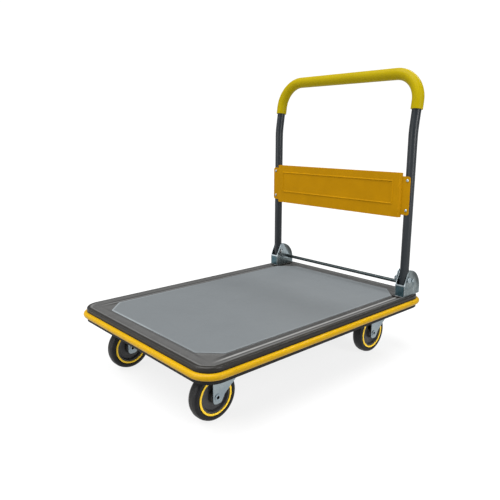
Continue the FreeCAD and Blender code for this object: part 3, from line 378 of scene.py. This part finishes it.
def rubber(name, colour):
    """Solid rubber: grey bloom, scuffed tread, mould line and raised rings on the side wall."""
    n = Nodes(name)
    side, radius = wheel_place(n)
    bloom = n.between(n.noise(60, 6), 0, 1, 0.35, 0.75)
    colour_out = n.tint(bloom, colour, shade(colour, 1.9))
    tread = n.between(radius, 0, 1, 0.0605, 0.0625)
    scuffed = n.both(tread, n.between(n.noise(95, 6), 0.1, 0.7))
    colour_out = n.layer(scuffed, colour_out, (0.020, 0.0195, 0.0185))
    line = n.below(side, 0.0003, 0.0004)
    rings = n.either(n.below(n.off(radius, 0.0582), 0.0004, 0.0006),
                     n.below(n.off(radius, 0.0512), 0.0004, 0.0006))
    dull = n.between(n.noise(110, 5), 0.42, 0.6)
    normal = n.bump(n.either(n.both(line, tread), rings), 0.6, 0.0006,
                    n.bump(n.noise(700, 4), 0.35, 0.0002, n.bump(n.noise(120, 3), 0.2, 0.0005)))
    return n.finish(colour_out, dull, normal, Specular_IOR_Level=0.22)


def socketed(name, colour):
    """Flared tubular axle: plated flange round a bore painted dark as shade."""
    n = Nodes(name)
    _, radius = wheel_place(n)
    # Painted shade: the inside of the bore is coloured near black.
    bore_shade = n.below(radius, 0.0041, 0.0004)
    plating = n.tint(n.between(n.noise(240, 4), 0, 1), shade(colour, 0.75), shade(colour, 1.1))
    colour_out = n.layer(bore_shade, plating, (0.012, 0.012, 0.013))
    dull = n.plus(n.between(n.noise(310, 4), 0.22, 0.36), n.both(bore_shade, 0.4))
    rolled = n.below(n.off(radius, 0.0062), 0.0004, 0.0005)
    normal = n.bump(rolled, 0.5, 0.0004, n.bump(n.noise(700, 3), 0.2, 0.0001))
    return n.finish(colour_out, dull, normal, Metallic=0.9)


def wheel_centre(name, colour):
    """Moulded nylon wheel: fine grain, a witness ring and grease near the hub."""
    n = Nodes(name)
    _, radius = wheel_place(n)
    base = n.tint(n.between(n.noise(26, 4), 0, 1), shade(colour, 0.85), shade(colour, 1.2))
    grease = n.both(n.below(radius, 0.016, 0.008), n.between(n.noise(140, 6), 0.2, 0.9))
    colour_out = n.layer(grease, base, (0.008, 0.007, 0.006))
    ring = n.below(n.off(radius, 0.0275), 0.0003, 0.0005)
    dull = n.between(n.noise(60, 5), 0.4, 0.52)
    normal = n.bump(ring, 0.6, 0.0005, n.bump(n.noise(520, 3), 0.3, 0.00015))
    return n.finish(colour_out, dull, normal, Specular_IOR_Level=0.4)


ZINC = (0.27, 0.325, 0.36)
NYLON = (0.020, 0.020, 0.021)
FINISHES = {
    "painted_grey": deck_paint("grey_powder_coat", (0.0125, 0.0115, 0.0100), (0.059, 0.059, 0.058)),
    "charcoal": paint("charcoal_powder_coat", (0.0112, 0.0142, 0.0172), gloss=0.34, worn=2.4, specular=0.26,
                      dust_and_painted_light=(0.10, 0.11, 0.12)),
    "amber": paint("amber_enamel", (0.305, 0.146, 0.0004), gloss=0.45, peel=0.25, specular=0.03, worn=1.35,
                   dust_and_painted_light=(0.36, 0.20, 0.01)),
    "mat_vinyl": vinyl_mat("grey_vinyl_mat", (0.090, 0.099, 0.104)),
    "bumper_vinyl": moulded("yellow_bumper_vinyl", (0.36, 0.205, 0.0004), gloss=0.36, grain_strength=0.15,
                            specular=0.12, seam=True),
    "grip_vinyl": moulded("yellow_grip_sleeve", (0.262, 0.200, 0.0002), gloss=0.42, grain=260,
                          grain_strength=0.10, specular=0.05),
    "zinc": plated("bright_zinc", ZINC),
    "steel": plated("plain_steel", (0.30, 0.30, 0.31), gloss=0.32),
    "tyre_rubber": rubber("black_rubber", (0.0048, 0.0048, 0.0052)),
    "black_plastic": moulded("black_nylon", NYLON, gloss=0.45),
    "ring_yellow": moulded("yellow_wheel_band", (0.88, 0.57, 0.02), gloss=0.36, grime_and_painted_shade=0.1),
}

for item in frame["record"]["subparts"]:
    mesh = nodes[item["node"]].data
    mesh.materials.clear()
    mesh.materials.append(FINISHES[item["material_slot"]])

hinge_finish = hinge_plating("hinge_zinc", (0.125, 0.165, 0.180))
for side in SIDES:
    nodes[f"hinge_bracket_{side}"].data.materials[0] = hinge_finish
rod_finish = plated("rod_zinc", (0.062, 0.078, 0.084), gloss=0.2, rim=1.0)
nodes["latch_rod"].data.materials[0] = rod_finish
socket_finish = socketed("axle_zinc", ZINC)
core_finish = wheel_centre("wheel_nylon", shade(NYLON, 1.5))
for caster in CASTERS:
    nodes[f"wheel_{caster}_core"].data.materials[0] = core_finish
    nodes[f"caster_axle_{caster}"].data.materials[0] = socket_finish


# -------------------------------------------------------------- small fittings

def piece_from(name, vertices, faces, finish, body):
    """A smooth mesh piece that moves with a body. Its shells are closed, and their faces turned outwards."""
    mesh = bpy.data.meshes.new(name)
    mesh.from_pydata(vertices, [], faces)
    form = bmesh.new()
    form.from_mesh(mesh)
    bmesh.ops.recalc_face_normals(form, faces=form.faces)
    form.to_mesh(mesh)
    form.free()
    mesh.shade_smooth()
    mesh.materials.append(finish)
    piece = bpy.data.objects.new(name, mesh)
    bpy.context.scene.collection.objects.link(piece)
    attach(piece, body)
    return piece


def close_shell(faces, first, bands, around):
    """Add the faces between rings of vertices, and one at each end; piece_from turns them outwards."""
    for band in range(bands):
        for step in range(around):
            a, b = first + band * around + step, first + band * around + (step + 1) % around
            faces.append((a, b, b + around, a + around))
    faces.append(tuple(first + step for step in range(around)))
    faces.append(tuple(first + bands * around + step for step in reversed(range(around))))


def beads(name, runs, radius, finish, body):
    """Rippled weld beads along straight runs, each (start, end), rounded off at both ends."""
    around, ring_step = 12, 0.0006
    ripple_height, ripple_pace = 0.13, 0.55
    end_rounding, least_end = 26, 0.02
    vertices, faces = [], []
    for start, end in runs:
        start, end = Vector(start), Vector(end)
        along = (end - start).normalized()
        side = along.cross(Vector((0, 0, 1))).normalized()
        rise = side.cross(along)
        rings = int((end - start).length / ring_step)
        first = len(vertices)
        for ring in range(rings + 1):
            share = ring / rings
            taper = min(1, math.sqrt(max(least_end, share * (1 - share) * end_rounding)))
            ripple = 1 + ripple_height * abs(math.sin(ring * ripple_pace))
            middle = start.lerp(end, share)
            for step in range(around):
                turn = 2 * math.pi * step / around
                reach = radius * taper * ripple
                vertices.append(middle + (side * math.cos(turn) + rise * math.sin(turn)) * reach)
        close_shell(faces, first, rings, around)
    piece_from(name, vertices, faces, finish, body)


def member_welds():
    """Stitch welds where the cross members and stringers meet the pan."""
    gap, half_bead, bead_radius = 0.0006, 0.016, 0.0022
    across_count, across_start, across_pitch = 7, -0.255, 0.085
    along_count, along_start, along_pitch = 4, 0.07, 0.12
    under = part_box("cross_member_front")[1][2] - gap
    runs = []
    for end in ENDS:
        low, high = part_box(f"cross_member_{end}")
        for level_y in (low[1] - gap, high[1] + gap):
            for number in range(across_count):
                middle = across_start + number * across_pitch
                runs.append(((middle - half_bead, level_y, under), (middle + half_bead, level_y, under)))
    for side in SIDES:
        low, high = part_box(f"stringer_{side}")
        for level_x in (low[0] - gap, high[0] + gap):
            for number in range(along_count):
                middle = low[1] + along_start + number * along_pitch
                runs.append(((level_x, middle - half_bead, under), (level_x, middle + half_bead, under)))
    beads("member_welds", runs, bead_radius, FINISHES["charcoal"], "deck")


def panel_screw_heads():
    """Pan heads with a cross recess, in place of the four plain panel screws."""
    low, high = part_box("panel_screws")
    radius, shank, rise = 0.0045, 0.0025, 0.0024
    face = low[1] + rise
    crown, rim_from, rim_drop = 0.22, 0.72, 0.9
    arm_half, arm_reach, recess, wall = 0.00055, 0.0024, 0.0014, 0.00025
    rings, around = 30, 96
    bands = rings + 2
    vertices, faces = [], []

    def surface(u, v):
        """Height of the head over its seat: a low dome with a cross-shaped recess."""
        share = math.hypot(u, v) / radius
        rim = max(0, share - rim_from) / (1 - rim_from) * rim_drop
        dome = rise * (1 - crown * share ** 2) * max(0, 1 - rim) ** 0.5
        inside = max(min(arm_half - abs(u), arm_reach - abs(v)),
                     min(arm_half - abs(v), arm_reach - abs(u)))
        depth = min(1, max(0, inside / wall + 0.5))
        return dome - recess * depth

    def ring_of(middle_x, middle_z, reach, level):
        """A ring of vertices on the head's surface, or at one level from its seat."""
        for step in range(around):
            turn = 2 * math.pi * step / around
            u, v = reach * math.cos(turn), reach * math.sin(turn)
            height = surface(u, v) if level is None else level
            vertices.append((middle_x + u, face - height, middle_z + v))

    for middle_x in (low[0] + radius, high[0] - radius):
        for middle_z in (low[2] + radius, high[2] - radius):
            first = len(vertices)
            for ring in range(1, rings + 1):
                ring_of(middle_x, middle_z, radius * ring / rings, None)
            ring_of(middle_x, middle_z, radius, 0.0)
            ring_of(middle_x, middle_z, shank, 0.0)
            ring_of(middle_x, middle_z, shank, face - high[1])
            close_shell(faces, first, bands, around)
    heads = piece_from("panel_screw_heads", vertices, faces, FINISHES["zinc"], "handle")
    heads.data.set_sharp_from_angle(angle=math.radians(50))
    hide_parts("panel_screws")


member_welds()
panel_screw_heads()


# --------------------------------------------------------- floor and lighting

def floor():
    """Plain pale floor that glows faintly, so that it reads as a white ground."""
    reach = 40
    mesh = bpy.data.meshes.new("floor")
    mesh.from_pydata([(-reach, -reach, 0), (reach, -reach, 0), (reach, reach, 0), (-reach, reach, 0)],
                     [], [(0, 1, 2, 3)])
    piece = bpy.data.objects.new("floor", mesh)
    bpy.context.scene.collection.objects.link(piece)
    n = Nodes("studio_floor")
    colour = n.tint(n.between(n.noise(3, 2), 0, 1), (0.108, 0.108, 0.108), (0.113, 0.113, 0.113))
    mesh.materials.append(n.finish(colour, Roughness=0.9, Emission_Color=(1, 1, 1, 1),
                                   Emission_Strength=0.82))


def studio_world():
    """White background for the camera, softer grey light on the object."""
    world = bpy.data.worlds.new("studio")
    world.use_nodes = True
    tree = world.node_tree
    output = tree.nodes["World Output"]
    fill = tree.nodes["Background"]
    fill.inputs["Color"].default_value = (0.96, 0.98, 1.0, 1)
    fill.inputs["Strength"].default_value = 0.25
    white = tree.nodes.new("ShaderNodeBackground")
    white.inputs["Color"].default_value = (1, 1, 1, 1)
    white.inputs["Strength"].default_value = 1.05
    seen = tree.nodes.new("ShaderNodeLightPath")
    mix = tree.nodes.new("ShaderNodeMixShader")
    tree.links.new(seen.outputs["Is Camera Ray"], mix.inputs["Fac"])
    tree.links.new(fill.outputs["Background"], mix.inputs[1])
    tree.links.new(white.outputs["Background"], mix.inputs[2])
    tree.links.new(mix.outputs["Shader"], output.inputs["Surface"])
    bpy.context.scene.world = world


def lamp(name, kind, energy, place, target, **settings):
    """A light at a place, turned to a target."""
    data = bpy.data.lights.new(name, kind)
    data.energy = energy
    for key, value in settings.items():
        setattr(data, key, value)
    piece = bpy.data.objects.new(name, data)
    piece.location = place
    piece.rotation_mode = "QUATERNION"
    piece.rotation_quaternion = (Vector(target) - Vector(place)).to_track_quat("-Z", "Y")
    bpy.context.scene.collection.objects.link(piece)


def softbox(name, energy, place, target, width, height):
    lamp(name, "AREA", energy, place, target, shape="RECTANGLE", size=width, size_y=height)


def lights():
    """A broad overhead light and four softboxes."""
    lamp("overhead", "SUN", 6.0, (-0.15, -0.7, 2.2), (0, 0, 0), angle=math.radians(60))
    softbox("front_softbox", 30, (-0.5, -3.1, 0.9), (0, 0, 0.5), 1.6, 1.0)
    softbox("left_softbox", 9, (-1.6, -1.4, 1.5), (0, 0, 0.4), 1.0, 1.6)
    softbox("back_softbox", 32, (0.2, 2.2, 2.5), (0.2, 0, 0.2), 1.6, 0.6)
    softbox("right_strip", 34, (2.2, 0.2, 1.1), (0.1, 0.1, 0.3), 0.5, 1.6)


def camera():
    """Camera in front of the right corner, looking slightly down."""
    turn, tilt = math.radians(48.17), math.radians(12.47)
    look = -Vector((math.sin(turn) * math.cos(tilt), -math.cos(turn) * math.cos(tilt), math.sin(tilt)))
    data = bpy.data.cameras.new("camera")
    data.sensor_width = 36
    data.lens = 38.3
    piece = bpy.data.objects.new("camera", data)
    piece.location = (1.1366, -1.0502, 0.679)
    piece.rotation_mode = "QUATERNION"
    piece.rotation_quaternion = look.to_track_quat("-Z", "Y")
    bpy.context.scene.collection.objects.link(piece)
    bpy.context.scene.camera = piece


floor()
studio_world()
lights()
camera()
bpy.context.scene.view_settings.view_transform = "Standard"
